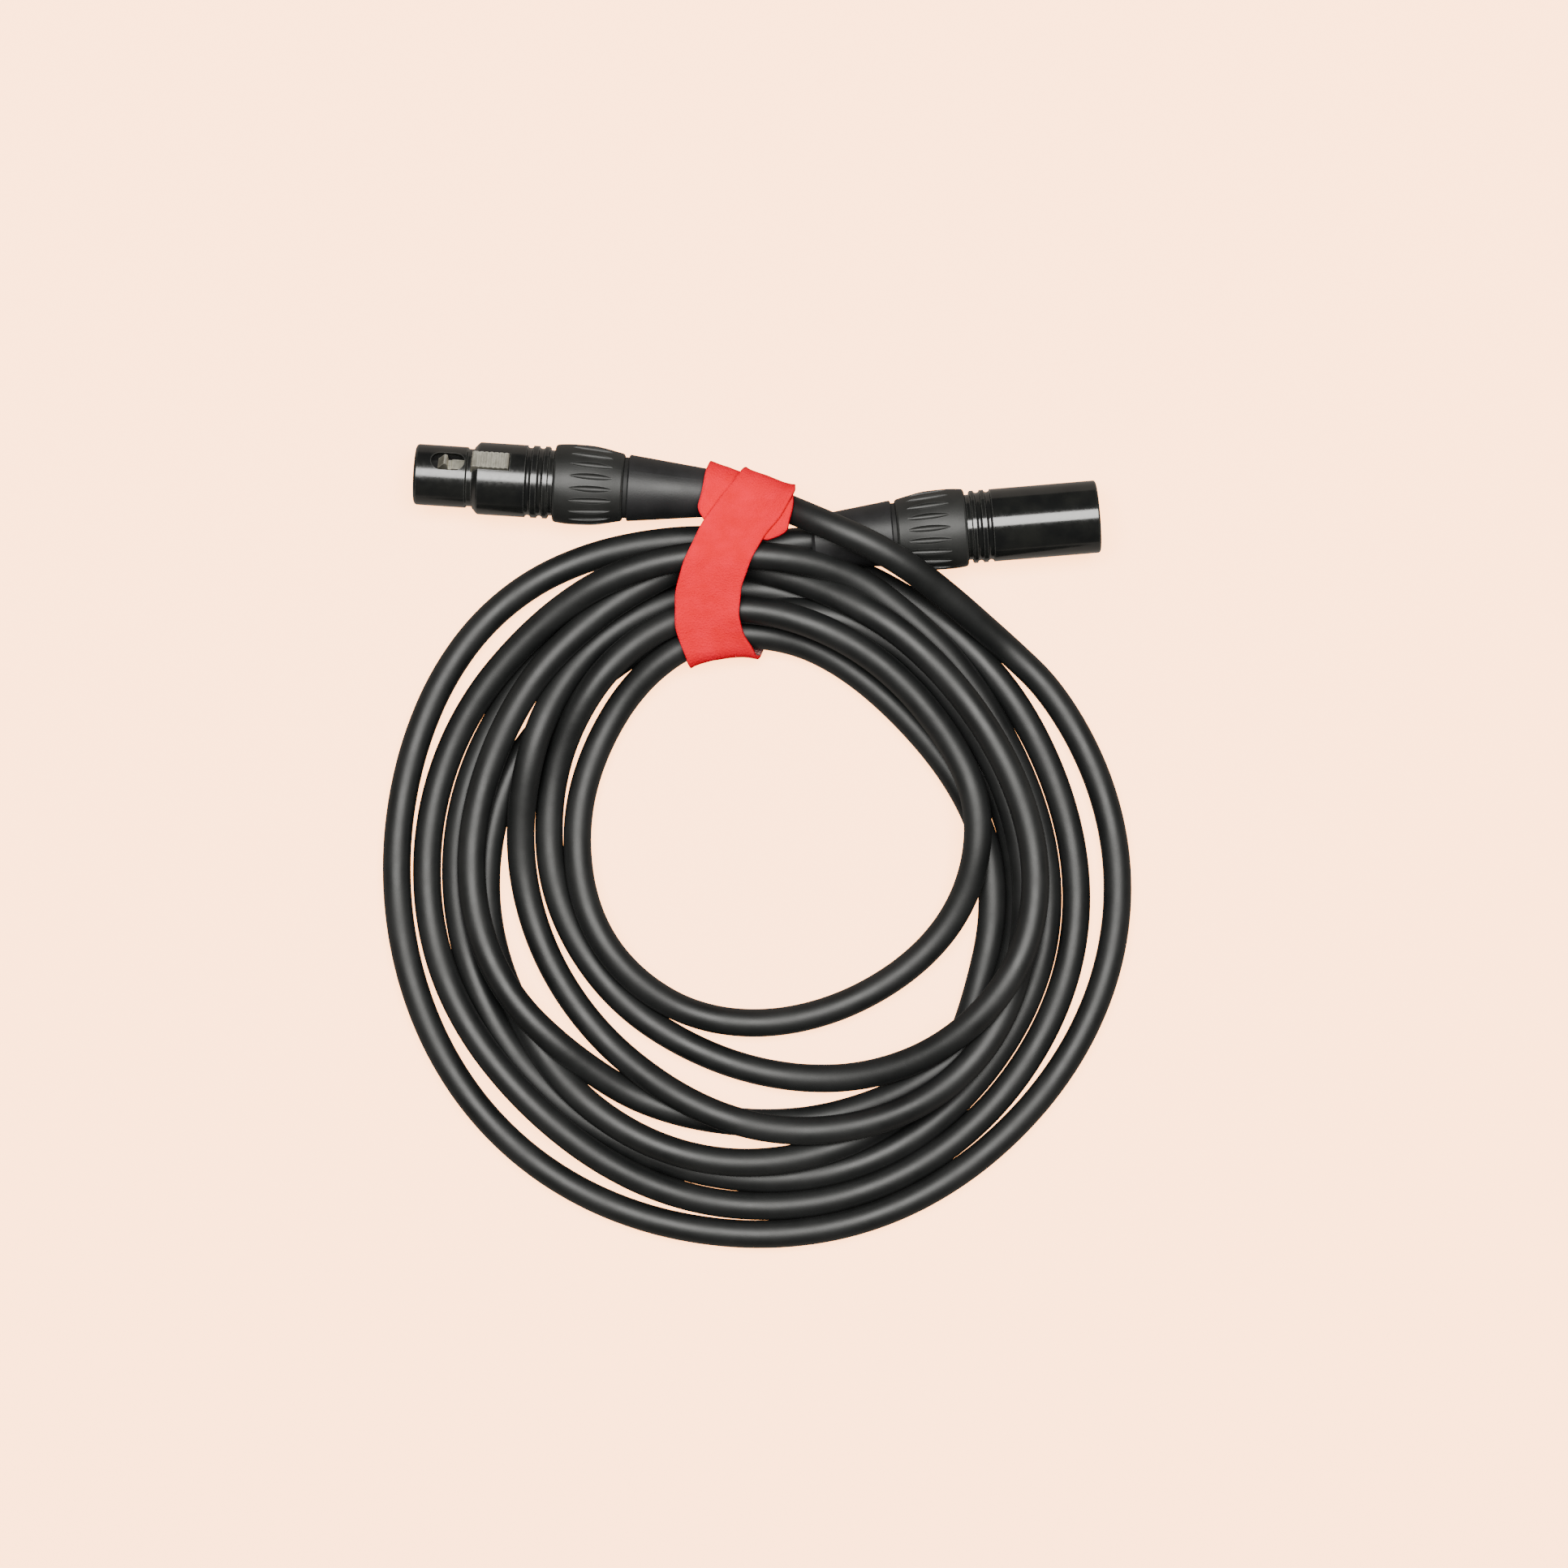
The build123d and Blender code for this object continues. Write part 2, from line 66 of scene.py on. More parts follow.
# ---------------------------------------------------------------- cable route
# The leads' routes, from the boot's mouth to the coil. They repeat the part's own points.
FEMALE_LEAD = [
    (-13.66, 92.61, 10.6), (-5.1, 92.05, 10.6), (2.2, 90.4, 13.2), (10.0, 86.9, 18.9),
    (18.6, 83.0, 22.9), (28.5, 78.6, 23.9), (39.0, 72.6, 21.2), (49.5, 65.0, 13.6),
    (60.5, 55.8, 6.6), (66.5, 50.6, 4.1),
]
MALE_LEAD = [(13.36, 80.15, 10.6), (3.9, 79.36, 10.6), (-6.5, 77.9, 9.7), (-17.5, 75.3, 8.3)]

# Each turn's reach from the coil's middle at twelve clock angles, in the order in which
# the cable runs through the turns, with how high the turn lies in the pile.
CLOCK = (75, 45, 15, -15, -45, -75, -105, -135, -165, -195, -225, -255)
TURNS = (
    (1.0, (84.0, 84.8, 90.7, 94.9, 96.4, 97.9, 100.8, 102.4, 98.7, 96.9, 98.6, 84.5)),
    (2.0, (78.1, 74.3, 76.0, 83.7, 87.4, 92.7, 91.7, 88.0, 90.8, 88.6, 83.6, 81.6)),
    (1.0, (75.2, 70.3, 71.3, 77.1, 81.4, 85.9, 85.6, 83.8, 83.5, 81.2, 78.2, 79.0)),
    (5.0, (70.6, 65.2, 66.8, 72.8, 69.8, 60.3, 54.1, 52.8, 54.7, 58.7, 64.7, 67.3)),
    (6.0, (61.4, 57.2, 57.8, 52.7, 45.4, 43.1, 44.8, 48.2, 50.3, 50.9, 54.5, 64.1)),
    (2.0, (55.4, 50.3, 54.7, 65.1, 73.2, 80.1, 82.6, 80.4, 76.4, 71.7, 64.7, 63.0)),
    (4.0, (67.1, 62.7, 64.3, 70.0, 76.5, 74.8, 68.3, 63.8, 63.6, 66.1, 71.6, 75.2)),
    (3.0, (64.5, 60.2, 61.9, 67.9, 73.6, 71.1, 69.9, 74.9, 78.8, 76.6, 76.6, 78.6)),
)
FIRST_CLOCK = 31.0                  # where the female lead joins the first turn
FIRST_PLACE = (75.6, 42.0, 3.7)     # the first and last places of the turns
LAST_PLACE = (-27.5, 71.2, 9.0)
LAST_CLOCK = -249.0                 # and where the last turn joins the male lead
STEPS = 108                         # settling points to a turn
KEEP = 3                            # every third one becomes a point of the cable
GAP = 2 * CABLE_R + 0.25            # between the middles of two turns that touch
SETTLING_ROUNDS = 420
LOOK_AGAIN = 12                     # rounds between two searches for points that are near
NEIGHBOURS = 9                      # points this near along the cable never push each other
FALL = 0.09                         # how far a point drops in a round
HOMING = 0.12                       # share of its way home that it goes in a round
PUSH = 0.45                         # share of an overlap that each of two points gives way
ABREAST = 3.2                       # points push each other only this near along the cable
HURRY = 1.5                         # the pushes' mean is stretched, so the pile settles sooner
SIDEWAYS_GIVE = 0.6                 # turns part sideways less readily than they climb


def spline_line(points, spacing=2.5):
    """Points along the quadratic curve that the cable follows between these points."""
    p = np.array(points, float)
    mids = (p[1:] + p[:-1]) / 2
    line = [p[0]]
    for start, corner, end in zip(mids, p[1:-1], mids[1:]):
        count = max(2, int(np.linalg.norm(end - start) / spacing))
        for t in np.arange(count) / count:
            line.append((1 - t) ** 2 * start + 2 * t * (1 - t) * corner + t * t * end)
    line.append(p[-1])
    return np.array(line)


def lay_turns():
    """Where each settling point belongs, and the height that it is dropped from."""
    clock, reach, height = [], [], []
    for number, (rank, reaches) in enumerate(TURNS):
        for angle, value in zip(CLOCK, reaches):
            clock.append(angle - 360.0 * number)
            reach.append(value)
            height.append(rank)
    clock, reach, height = (np.array(values[::-1]) for values in (clock, reach, height))
    first, last = FIRST_CLOCK, LAST_CLOCK - 360.0 * (len(TURNS) - 1)
    angles = np.arange(first, last, -360.0 / STEPS)
    smooth_reach = np.interp(angles, clock, reach)
    drop = np.interp(angles, clock, height)
    kernel = np.ones(STEPS // 12) / (STEPS // 12)
    for _ in range(2):
        padded = np.pad(smooth_reach, len(kernel), mode="edge")
        smooth_reach = np.convolve(padded, kernel, "same")[len(kernel):-len(kernel)]
    radians = np.radians(angles)
    flat = COIL_MIDDLE + smooth_reach[:, None] * np.stack((np.cos(radians), np.sin(radians)), 1)
    laid = np.column_stack((flat, CABLE_R + GAP * (drop - 1.0)))
    joins = np.linspace(1.0, 0.0, STEPS // 6)[:, None]
    laid[:len(joins)] += joins ** 2 * (np.array(FIRST_PLACE) - laid[0])
    laid[-len(joins):] += joins[::-1] ** 2 * (np.array(LAST_PLACE) - laid[-1])
    return laid


def settle(points, fixed):
    """Lets the turns fall on the floor and on each other until none lies in another."""
    home = points[:, :2].copy()
    first_place, last_place = points[0].copy(), points[-1].copy()
    count = len(points)
    everything = np.vstack((points, fixed))
    for step in range(SETTLING_ROUNDS):
        p = everything[:count]
        if step % LOOK_AGAIN == 0:
            offset = everything[None, :, :] - p[:, None, :]
            near = (offset ** 2).sum(2) < (1.9 * GAP) ** 2
            first, second = np.nonzero(near)
            apart = (second - first > NEIGHBOURS) | (second >= count)
            first, second = first[apart], second[apart]
        along = np.gradient(p, axis=0)
        along /= np.linalg.norm(along, axis=1)[:, None]
        p[:, 2] -= FALL
        p[:, :2] += HOMING * (home - p[:, :2])
        delta = everything[second] - p[first]
        axial = (delta * along[first]).sum(1)
        across = delta - axial[:, None] * along[first]
        distance = np.linalg.norm(across, axis=1) + 1e-9
        push = np.where((np.abs(axial) < ABREAST) & (distance < GAP), GAP - distance, 0.0)
        shift = across * (PUSH * push / distance)[:, None]
        total = np.zeros_like(everything)
        weight = np.zeros(len(everything))
        np.add.at(total, first, -shift)
        np.add.at(total, second, shift)
        np.add.at(weight, first, push > 0)
        np.add.at(weight, second, push > 0)
        moved = total[:count] / np.maximum(weight[:count], 1.0)[:, None] * HURRY
        p += moved * (SIDEWAYS_GIVE, SIDEWAYS_GIVE, 1.0)
        aside = p[:, :2] - home
        for _ in range(3):
            aside[1:-1] += 0.3 * (aside[2:] + aside[:-2] - 2 * aside[1:-1])
            p[1:-1, 2] += 0.2 * (p[2:, 2] + p[:-2, 2] - 2 * p[1:-1, 2])
        p[:, :2] = home + aside
        p[:, 2] = np.maximum(p[:, 2], CABLE_R)
        p[0], p[-1] = first_place, last_place
        everything[:count] = p
    return everything[:count]


def coil_turns():
    """The cable's points in the coil, from the female lead to the male lead."""
    ends = np.vstack((spline_line(FEMALE_LEAD), spline_line(MALE_LEAD)))
    settled = settle(lay_turns(), ends)
    kept = settled[::KEEP]
    full = kept.copy()
    full[1:-1] += 0.25 * (kept[1:-1] - (kept[2:] + kept[:-2]) / 2)
    return settled, full


settled_line, turn_points = coil_turns()
route = np.vstack((FEMALE_LEAD, turn_points, MALE_LEAD[::-1])) * MM


def make_cable(points):
    """The whole cable as one curve. Its radius is on its points, which keeps its box true."""
    curve = bpy.data.curves.new("cable", "CURVE")
    curve.dimensions = "3D"
    spline = curve.splines.new("NURBS")
    spline.points.add(len(points) - 1)
    for point, place in zip(spline.points, points):
        point.co = (*place, 1.0)
        point.radius = CABLE_R * MM
    spline.order_u = 3
    spline.use_endpoint_u = True
    curve.resolution_u = 6
    curve.bevel_depth = 1.0
    curve.bevel_resolution = 7
    curve.use_fill_caps = True
    cable = bpy.data.objects.new("cable", curve)
    bpy.context.collection.objects.link(cable)
    return cable


cable = make_cable(route)
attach(cable, "cable")
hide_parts("cable_coil", "cable_lead_female", "cable_lead_male")


# ---------------------------------------------------------------- materials
def new_material(name):
    material = bpy.data.materials.new(name)
    material.use_nodes = True
    tree = material.node_tree
    return material, tree, tree.nodes["Principled BSDF"]


def add_node(tree, kind, **sockets):
    """A node of this kind with these input values; a socket given as a value is linked."""
    node = tree.nodes.new(kind)
    for name, value in sockets.items():
        socket = node.inputs[name.replace("_", " ")]
        if isinstance(value, bpy.types.NodeSocket):
            tree.links.new(value, socket)
        else:
            socket.default_value = value
    return node


def noise(tree, vector, scale, detail=3.0, roughness=0.5):
    node = add_node(tree, "ShaderNodeTexNoise", Vector=vector, Scale=scale, Detail=detail)
    node.inputs["Roughness"].default_value = roughness
    return node.outputs["Fac"]


def ramp(tree, factor, low, high, start=0.0, end=1.0):
    """Blends between two colours as the factor goes from start to end."""
    node = add_node(tree, "ShaderNodeValToRGB", Fac=factor)
    first, last = node.color_ramp.elements
    first.position, last.position = start, end
    first.color = (*low, 1.0)
    last.color = (*high, 1.0)
    return node.outputs["Color"]


def spread(tree, factor, low, high, start=0.3, end=0.7):
    """A number that goes from low to high as the factor goes from start to end."""
    node = add_node(tree, "ShaderNodeMapRange", Value=factor)
    for name, value in (("From Min", start), ("From Max", end), ("To Min", low), ("To Max", high)):
        node.inputs[name].default_value = value
    return node.outputs["Result"]


def bump(tree, height, depth, strength=1.0, under=None):
    node = add_node(tree, "ShaderNodeBump", Height=height, Distance=depth, Strength=strength)
    if under is not None:
        tree.links.new(under, node.inputs["Normal"])
    return node.outputs["Normal"]


def object_place(tree):
    return tree.nodes.new("ShaderNodeTexCoord").outputs["Object"]


def edge_wear(tree, radius):
    """Near 1 on sharp outer edges: how far the bevelled normal leans off the true one."""
    rounded = add_node(tree, "ShaderNodeBevel", Radius=radius).outputs["Normal"]
    plain = tree.nodes.new("ShaderNodeNewGeometry").outputs["Normal"]
    dot = tree.nodes.new("ShaderNodeVectorMath")
    dot.operation = "DOT_PRODUCT"
    tree.links.new(rounded, dot.inputs[0])
    tree.links.new(plain, dot.inputs[1])
    return spread(tree, dot.outputs["Value"], 1.0, 0.0, 0.86, 0.99)


def worn_edges(tree, colour, worn, radius):
    """The colour, with the worn one on sharp edges."""
    if worn is None:
        return colour
    mix = add_node(tree, "ShaderNodeMix")
    mix.data_type = "RGBA"
    tree.links.new(edge_wear(tree, radius), mix.inputs[0])
    tree.links.new(colour, mix.inputs[6])
    mix.inputs[7].default_value = (*worn, 1.0)
    return mix.outputs[2]


def metal(name, dark, light, rough_low, rough_high, grain, metallic=1.0, worn=None, specular=0.5):
    """A plated or bare metal: cloudy tarnish, fine scratches in its gloss, worn edges."""
    material, tree, shader = new_material(name)
    place = object_place(tree)
    cloud = noise(tree, place, 180.0, 5.0)
    colour = worn_edges(tree, ramp(tree, cloud, dark, light, 0.35, 0.65), worn, 0.0004)
    tree.links.new(colour, shader.inputs["Base Color"])
    shader.inputs["Specular IOR Level"].default_value = specular
    shader.inputs["Metallic"].default_value = metallic
    fine = noise(tree, place, grain, 4.0, 0.6)
    tree.links.new(spread(tree, fine, rough_low, rough_high), shader.inputs["Roughness"])
    peel = noise(tree, place, grain * 0.25, 2.0)
    tree.links.new(bump(tree, peel, 0.000006, 0.5), shader.inputs["Normal"])
    return material


def moulded(name, dark, light, roughness, grain, depth, specular=0.4, worn=None):
    """Moulded plastic or rubber: a fine grain, faint clouds, and duller dusty patches."""
    material, tree, shader = new_material(name)
    place = object_place(tree)
    cloud = noise(tree, place, 90.0, 6.0, 0.6)
    colour = worn_edges(tree, ramp(tree, cloud, dark, light, 0.3, 0.7), worn, 0.0003)
    tree.links.new(colour, shader.inputs["Base Color"])
    low, high = roughness
    tree.links.new(spread(tree, cloud, low, high), shader.inputs["Roughness"])
    shader.inputs["Specular IOR Level"].default_value = specular
    fine = noise(tree, place, grain, 3.0, 0.7)
    tree.links.new(bump(tree, fine, depth, 0.6), shader.inputs["Normal"])
    return material


def jacket_material():
    """Soft PVC: satin, with a fine leathery grain, slow ripples and dusty patches."""
    material, tree, shader = new_material("jacket_pvc")
    place = object_place(tree)
    cloud = noise(tree, place, 45.0, 6.0, 0.6)
    tree.links.new(
        ramp(tree, cloud, (0.0025, 0.003, 0.003), (0.0085, 0.009, 0.009), 0.32, 0.7),
        shader.inputs["Base Color"],
    )
    tree.links.new(spread(tree, cloud, 0.44, 0.58), shader.inputs["Roughness"])
    shader.inputs["Specular IOR Level"].default_value = 0.55
    ripple = noise(tree, place, 160.0, 2.0)
    grain = noise(tree, place, 3200.0, 3.0, 0.6)
    slow = bump(tree, ripple, 0.00025, 0.35)
    tree.links.new(bump(tree, grain, 0.00003, 0.5, slow), shader.inputs["Normal"])
    return material


def tape_place(tree):
    return tree.nodes.new("ShaderNodeTexCoord").outputs["UV"]


def loop_tape_material():
    """Brushed loop pile on the outside of the tie: red and fuzzy, in tufts and patches, with a
    painted glow that makes the red brighter than its light makes it.
    """
    material, tree, shader = new_material("tape_loops")
    place = tape_place(tree)
    pile = noise(tree, place, 3.4, 5.0, 0.75)
    tufts = add_node(tree, "ShaderNodeTexVoronoi", Vector=place, Scale=1.9).outputs["Distance"]
    patch = noise(tree, place, 0.22, 3.0)
    both = add_node(tree, "ShaderNodeMath")
    both.operation = "MULTIPLY_ADD"
    tree.links.new(pile, both.inputs[0])
    both.inputs[1].default_value = 0.7
    tree.links.new(spread(tree, patch, 0.0, 0.3), both.inputs[2])
    colour = ramp(tree, both.outputs[0], (0.74, 0.0, 0.010), (0.90, 0.0005, 0.026), 0.25, 0.7)
    tree.links.new(colour, shader.inputs["Base Color"])
    shader.inputs["Roughness"].default_value = 0.85
    shader.inputs["Specular IOR Level"].default_value = 0.01
    shader.inputs["Sheen Weight"].default_value = 0.12
    shader.inputs["Sheen Tint"].default_value = (1.0, 0.02, 0.03, 1.0)
    # Painted glow: the pile's own colour is emitted too, so the tie looks a brighter red than the
    # light on it gives.
    tree.links.new(colour, shader.inputs["Emission Color"])
    shader.inputs["Emission Strength"].default_value = 0.15
    low = bump(tree, tufts, 0.0003, 0.45)
    tree.links.new(bump(tree, pile, 0.0004, 0.6, low), shader.inputs["Normal"])
    return material


def hook_tape_material():
    """The tie's inside: rows of fine nylon hooks on a paler, greyer web."""
    material, tree, shader = new_material("tape_hooks")
    place = tape_place(tree)
    dots = add_node(tree, "ShaderNodeTexVoronoi", Vector=place, Scale=1.1)
    dots.inputs["Randomness"].default_value = 0.15
    height = spread(tree, dots.outputs["Distance"], 1.0, 0.0, 0.1, 0.45)
    colour = ramp(tree, height, (0.30, 0.10, 0.10), (0.72, 0.42, 0.40), 0.1, 0.9)
    tree.links.new(colour, shader.inputs["Base Color"])
    shader.inputs["Roughness"].default_value = 0.6
    tree.links.new(bump(tree, height, 0.0004, 0.8), shader.inputs["Normal"])
    return material


def paint_nodes(material, *names):
    """Gives carried-over CAD nodes a material."""
    for name in names:
        for slot in nodes[name].material_slots:
            slot.material = material


jacket = jacket_material()
cable.data.materials.append(jacket)
for shell, rough_low, rough_high in (("female_shell", 0.17, 0.26), ("male_shell", 0.11, 0.17)):
    plating = metal(
        f"{shell}_plating", (0.005, 0.0055, 0.0055), (0.010, 0.0105, 0.0095), rough_low, rough_high,
        900.0, metallic=0.0, worn=(0.06, 0.06, 0.057), specular=0.7,
    )
    paint_nodes(plating, shell)
nickel = metal(
    "latch_nickel", (0.28, 0.27, 0.22), (0.62, 0.60, 0.50), 0.32, 0.5, 1500.0,
    metallic=0.85, worn=(0.9, 0.87, 0.76),
)
paint_nodes(nickel, "latch_lever")
paint_nodes(
    metal("spring_metal", (0.45, 0.45, 0.45), (0.65, 0.65, 0.66), 0.25, 0.4, 2600.0),
    "latch_spring", "latch_pivot_pin",
)
paint_nodes(
    metal("silver_plate", (0.72, 0.70, 0.66), (0.88, 0.86, 0.82), 0.12, 0.28, 3000.0),
    *[f"male_pin_{n}" for n in (1, 2, 3)], *[f"female_contact_{n}" for n in (1, 2, 3)],
)
collar_black = moulded(
    "collar_black", (0.006, 0.0065, 0.006), (0.013, 0.0135, 0.0125), (0.48, 0.6), 2800.0,
    0.00004, 0.6, worn=(0.045, 0.045, 0.045),
)
paint_nodes(collar_black, "female_collar", "male_collar")
boot_black = moulded(
    "boot_rubber", (0.006, 0.006, 0.0065), (0.013, 0.013, 0.014), (0.46, 0.58), 2200.0,
    0.00005, 0.55,
)
paint_nodes(boot_black, "female_boot", "male_boot")
paint_nodes(
    moulded("ring_black", (0.010, 0.010, 0.010), (0.018, 0.018, 0.018), (0.5, 0.65), 2600.0,
            0.00004, 0.3),
    "female_coding_ring", "male_coding_ring",
)
paint_nodes(
    moulded("insert_black", (0.012, 0.012, 0.012), (0.022, 0.022, 0.022), (0.38, 0.5), 3000.0,
            0.00003, 0.4),
    "female_insert", "male_insert",
)
paint_nodes(
    moulded("chuck_white", (0.62, 0.61, 0.58), (0.78, 0.77, 0.74), (0.35, 0.5), 2400.0,
            0.00003, 0.5),
    "female_chuck", "male_chuck",
)
paint_nodes(
    moulded("core_red", (0.45, 0.03, 0.02), (0.62, 0.05, 0.04), (0.25, 0.4), 2400.0,
            0.00002, 0.5),
    "female_conductors", "male_conductors",
)
paint_nodes(jacket, "female_cable_tail", "male_cable_tail")


# ---------------------------------------------------------------- tie
TIE_MIDDLE = np.array((-6.6, 73.67))
TIE_LEAN = math.radians(14.0)
ALONG_TIE = np.array((math.sin(TIE_LEAN), math.cos(TIE_LEAN)))
ACROSS_TIE = np.array((math.cos(TIE_LEAN), -math.sin(TIE_LEAN)))
TAPE_THICK = 1.0
BOOT_END = (16.7, 10.6, 6.9)        # the female boot's end, with room for its travel
BOOT_END_ACROSS = -4.0
LOOP_COUNT = 240
SLICES = np.arange(-16.0, 16.1, 4.0)
SPAN = 3.5                          # the taut tape touches whatever is this near

# The tape's line: how far round the bundle, how far across, its half width, and its lift
# off the bundle. It starts on top with its wide head, runs over the far side, under the
# bundle, up with some slack, and back over the top as a second layer.
TAPE_LINE = (
    (0.437, -1.2, 12.0, 1.1), (0.31, -1.4, 12.0, 1.1), (0.27, -1.2, 11.0, 1.1),
    (0.22, -0.8, 8.1, 1.1), (0.0, 1.5, 8.1, 1.1), (-0.15, 4.5, 8.1, 1.3),
    (-0.22, 4.0, 8.1, 2.0), (-0.27, 1.6, 8.0, 2.0), (-0.31, -1.4, 8.0, 1.6),
    (-0.345, -3.0, 8.1, 1.5), (-0.369, -3.9, 8.1, 1.6), (-0.42, -5.0, 8.1, 1.8),
    (-0.462, -5.2, 8.1, 2.0), (-0.519, -4.4, 8.1, 2.2), (-0.573, -2.7, 8.1, 2.4),
    (-0.623, 0.3, 8.0, 2.5), (-0.673, 2.6, 7.6, 2.5), (-0.71, 3.2, 7.0, 2.5),
    (-0.75, 3.4, 6.6, 2.5), (-0.785, 3.4, 5.4, 2.5),
)
PEEL_TURN = -0.215                  # the tape is cut into its two stretches here; past here the real tape lifts when it is peeled
ROUND = 131.0                       # once round the bundle
TAPE_ROWS, TAPE_COLUMNS = 300, 20
HEAD_CORNER = (5.0, 4.6)            # how far back the head's corners are cut, and how much
END_CORNER = (3.0, 2.0)             # the same at the tape's other end


def in_tie_frame(points):
    flat = points[:, :2] - TIE_MIDDLE
    return np.column_stack((flat @ ALONG_TIE, flat @ ACROSS_TIE, points[:, 2]))


def from_tie_frame(along, across, height):
    flat = TIE_MIDDLE + along * ALONG_TIE + across * ACROSS_TIE
    return Vector((flat[0] * MM, flat[1] * MM, height * MM))


def tight_loop(circles):
    """Evenly spaced points of the tight loop round these circles, from its lowest middle."""
    angles = np.radians(np.arange(-90.0, 270.0, 0.5))
    normals = np.stack((np.cos(angles), np.sin(angles)), 1)
    reach = normals @ circles[:, :2].T + circles[:, 2]
    outline = circles[reach.argmax(1), :2] + normals * circles[reach.argmax(1), 2][:, None]
    steps = np.linalg.norm(np.diff(outline, axis=0, append=outline[:1]), axis=1)
    run = np.concatenate(((0.0,), np.cumsum(steps)))
    closed = np.vstack((outline, outline[:1]))
    wanted = np.arange(LOOP_COUNT) / LOOP_COUNT * run[-1]
    loop = np.column_stack([np.interp(wanted, run, closed[:, k]) for k in (0, 1)])
    middle = int(np.argmin(np.abs(loop[:, 0] - circles[:, 0].mean()) + 10 * (loop[:, 1] > 8)))
    return np.roll(loop, -middle, axis=0)


def bundle_loops():
    """The bundle's tight loop at each slice across the tie."""
    lines = np.vstack((settled_line, spline_line(FEMALE_LEAD), spline_line(MALE_LEAD)))
    places = in_tie_frame(lines)
    places = places[(np.abs(places[:, 0]) < 40)]
    loops = []
    for across in SLICES:
        inside = places[np.abs(places[:, 1] - across) < SPAN]
        circles = np.column_stack((inside[:, 0], inside[:, 2], np.full(len(inside), CABLE_R)))
        if across <= BOOT_END_ACROSS:
            circles = np.vstack((circles, BOOT_END))
        loops.append(tight_loop(circles))
    loops = np.array(loops)
    for _ in range(2):
        padded = np.concatenate((loops[:1], loops, loops[-1:]))
        loops = (padded[:-2] + 2 * padded[1:-1] + padded[2:]) / 4
    return loops


loops = bundle_loops()


def tape_point(turn, across, lift):
    """Place on the tape: turn is the share of the way round, lift is off the bundle."""
    slice_at = np.clip((across - SLICES[0]) / (SLICES[1] - SLICES[0]), 0, len(SLICES) - 1.001)
    low = int(slice_at)
    share = slice_at - low
    loop = loops[low] * (1 - share) + loops[low + 1] * share
    at = (turn % 1.0) * LOOP_COUNT
    first = int(at)
    part = at - first
    here = loop[first % LOOP_COUNT] * (1 - part) + loop[(first + 1) % LOOP_COUNT] * part
    ahead = loop[(first + 5) % LOOP_COUNT] - loop[(first - 5) % LOOP_COUNT]
    outward = np.array((ahead[1], -ahead[0])) / np.linalg.norm(ahead)
    spot = here + outward * lift
    return from_tie_frame(spot[0], across, max(spot[1], 0.1))


def tape_rows():
    """The tape's places row by row, each with its distance along and across the tape."""
    keys = np.array(TAPE_LINE)
    turns = np.linspace(keys[0, 0], keys[-1, 0], TAPE_ROWS)
    smooth = []
    for column in (1, 2, 3):
        values = np.interp(-turns, -keys[:, 0], keys[:, column])
        for _ in range(2):
            values = np.convolve(np.pad(values, 5, mode="edge"), np.ones(11) / 11, "valid")
        smooth.append(values)
    rows = []
    for turn, middle, half, lift in zip(turns, *smooth):
        run, left = (turns[0] - turn) * ROUND, (turn - turns[-1]) * ROUND
        corner = sum(
            cut * max(0.0, 1.0 - distance / back) ** 2
            for distance, (back, cut) in ((run, HEAD_CORNER), (left, END_CORNER))
        )
        row = []
        for column in range(TAPE_COLUMNS + 1):
            side = 2 * column / TAPE_COLUMNS - 1
            wave = 0.16 * math.sin(27 * turn + 2.5 * side) + 0.08 * math.sin(91 * turn + side)
            across = middle + side * (half - corner) + wave * abs(side)
            cupped = lift + 0.35 * abs(side) ** 5 + 0.12 * math.sin(40 * turn + 4 * side)
            row.append((tape_point(turn, across, cupped), (run, side * half)))
        rows.append(row)
    return turns, rows


def make_tape(name, rows):
    """One stretch of the tape, from its rows: pile outside, hooks inside."""
    mesh = bpy.data.meshes.new(name)
    width = TAPE_COLUMNS + 1
    faces = []
    for number in range(len(rows) - 1):
        for column in range(TAPE_COLUMNS):
            a = number * width + column
            faces.append((a, a + 1, a + width + 1, a + width))
    places = [place for row in rows for place in row]
    mesh.from_pydata([vertex for vertex, _ in places], [], faces)
    uv = mesh.uv_layers.new(name="tape_mm")
    for corner in mesh.loops:
        uv.data[corner.index].uv = places[corner.vertex_index][1]
    mesh.polygons.foreach_set("use_smooth", [True] * len(mesh.polygons))
    mesh.update()
    tape = bpy.data.objects.new(name, mesh)
    bpy.context.collection.objects.link(tape)
    thick = tape.modifiers.new("thickness", "SOLIDIFY")
    thick.thickness = TAPE_THICK * MM
    thick.offset = -1.0
    thick.material_offset = 1
    mesh.materials.append(tape_loops)
    mesh.materials.append(tape_hooks)
    return tape


tape_loops = loop_tape_material()
tape_hooks = hook_tape_material()
turns, rows = tape_rows()
split = int(np.argmin(np.abs(turns - PEEL_TURN)))
inner_tape = make_tape("tie_inner", rows[:split + 1])
outer_tape = make_tape("tie_outer", rows[split:])
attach(inner_tape, "cable")
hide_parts("tie_band")
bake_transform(outer_tape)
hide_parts("tie_tail")


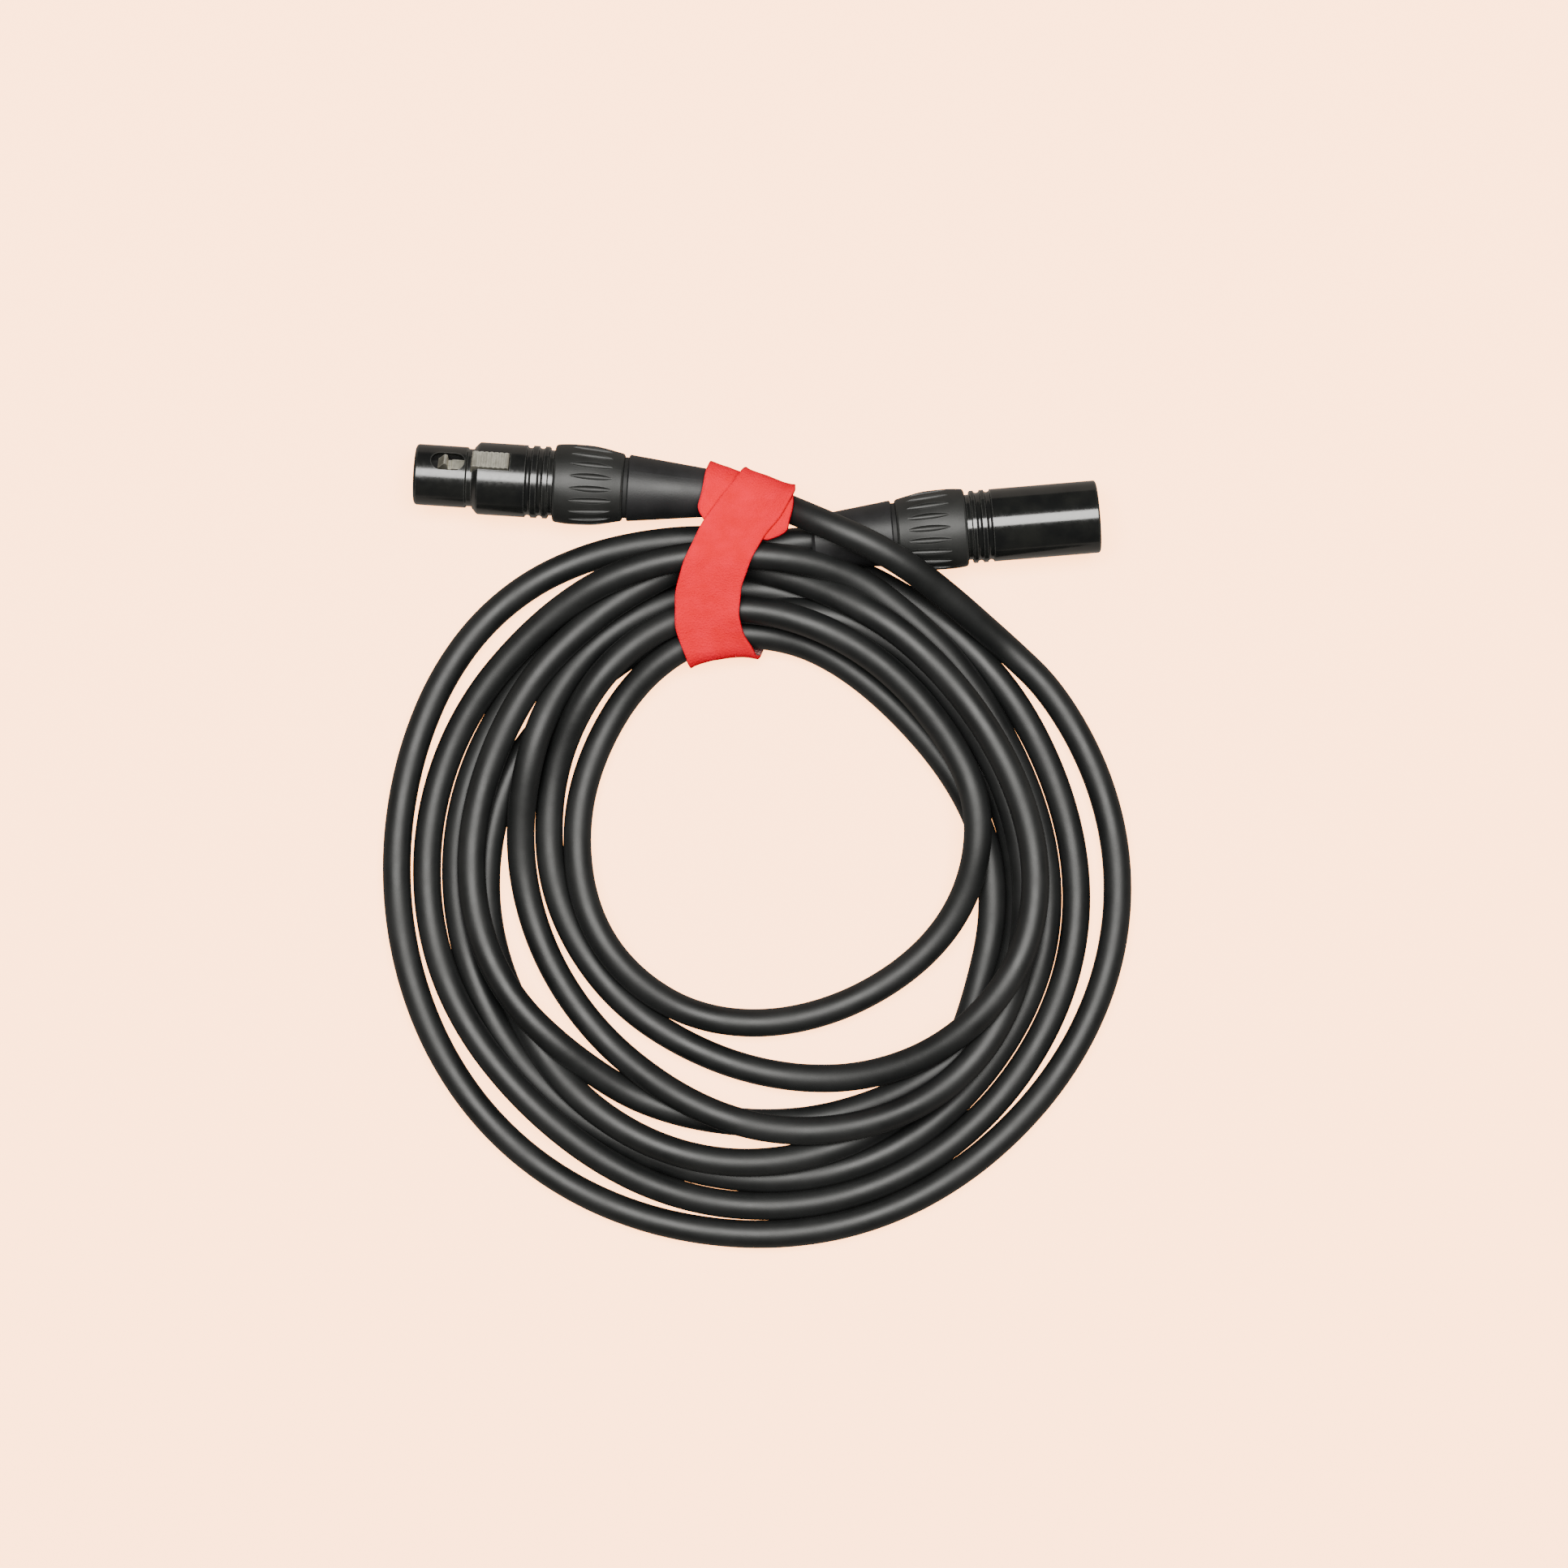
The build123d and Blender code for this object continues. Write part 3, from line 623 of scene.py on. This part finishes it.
# ---------------------------------------------------------------- floor, light, backdrop
def make_floor():
    """Pale paper, bright and even to the camera and dim to the pieces that stand on it."""
    mesh = bpy.data.meshes.new("floor")
    half = 3.0
    corners = [(-half, -half, 0), (half, -half, 0), (half, half, 0), (-half, half, 0)]
    mesh.from_pydata(corners, [], [(0, 1, 2, 3)])
    mesh.update()
    floor = bpy.data.objects.new("floor", mesh)
    bpy.context.collection.objects.link(floor)
    material, tree, shader = new_material("floor_paper")
    tone = noise(tree, object_place(tree), 3.0, 2.0)
    tree.links.new(
        ramp(tree, tone, (0.80, 0.60, 0.48), (0.82, 0.615, 0.49)), shader.inputs["Base Color"]
    )
    shader.inputs["Roughness"].default_value = 0.9
    shader.inputs["Specular IOR Level"].default_value = 0.1
    shader.inputs["Emission Color"].default_value = (1.0, 0.42, 0.155, 1)
    shader.inputs["Emission Strength"].default_value = 6.3
    unseen = add_node(tree, "ShaderNodeBsdfDiffuse", Color=(0.22, 0.2, 0.185, 1))
    mix = tree.nodes.new("ShaderNodeMixShader")
    seen = tree.nodes.new("ShaderNodeLightPath").outputs["Is Camera Ray"]
    tree.links.new(seen, mix.inputs[0])
    tree.links.new(unseen.outputs[0], mix.inputs[1])
    tree.links.new(shader.outputs[0], mix.inputs[2])
    tree.links.new(mix.outputs[0], tree.nodes["Material Output"].inputs["Surface"])
    mesh.materials.append(material)


def make_light(name, place, size, power, colour=(1, 1, 1)):
    light_data = bpy.data.lights.new(name, "AREA")
    light_data.shape = "RECTANGLE"
    light_data.size, light_data.size_y = size
    light_data.energy = power
    light_data.color = colour
    light = bpy.data.objects.new(name, light_data)
    light.location = place
    light.rotation_euler = (-Vector(place)).to_track_quat("-Z", "Y").to_euler()
    bpy.context.collection.objects.link(light)


def make_world():
    """A pale backdrop to the camera, and a dim warm glow to the pieces."""
    world = bpy.data.worlds.new("studio")
    bpy.context.scene.world = world
    world.use_nodes = True
    tree = world.node_tree
    dim = tree.nodes["Background"]
    dim.inputs["Color"].default_value = (1.0, 0.95, 0.9, 1)
    dim.inputs["Strength"].default_value = 0.09
    backdrop = add_node(tree, "ShaderNodeBackground", Color=(1.0, 0.47, 0.25, 1), Strength=7.6)
    seen = tree.nodes.new("ShaderNodeLightPath").outputs["Is Camera Ray"]
    mix = tree.nodes.new("ShaderNodeMixShader")
    tree.links.new(seen, mix.inputs[0])
    tree.links.new(dim.outputs[0], mix.inputs[1])
    tree.links.new(backdrop.outputs[0], mix.inputs[2])
    tree.links.new(mix.outputs[0], tree.nodes["World Output"].inputs["Surface"])


make_floor()
make_light("overhead", (0.0, 0.28, 1.7), (1.5, 0.8), 70.0, (1.0, 0.985, 0.95))
make_world()


# ---------------------------------------------------------------- the end
bpy.context.view_layer.update()
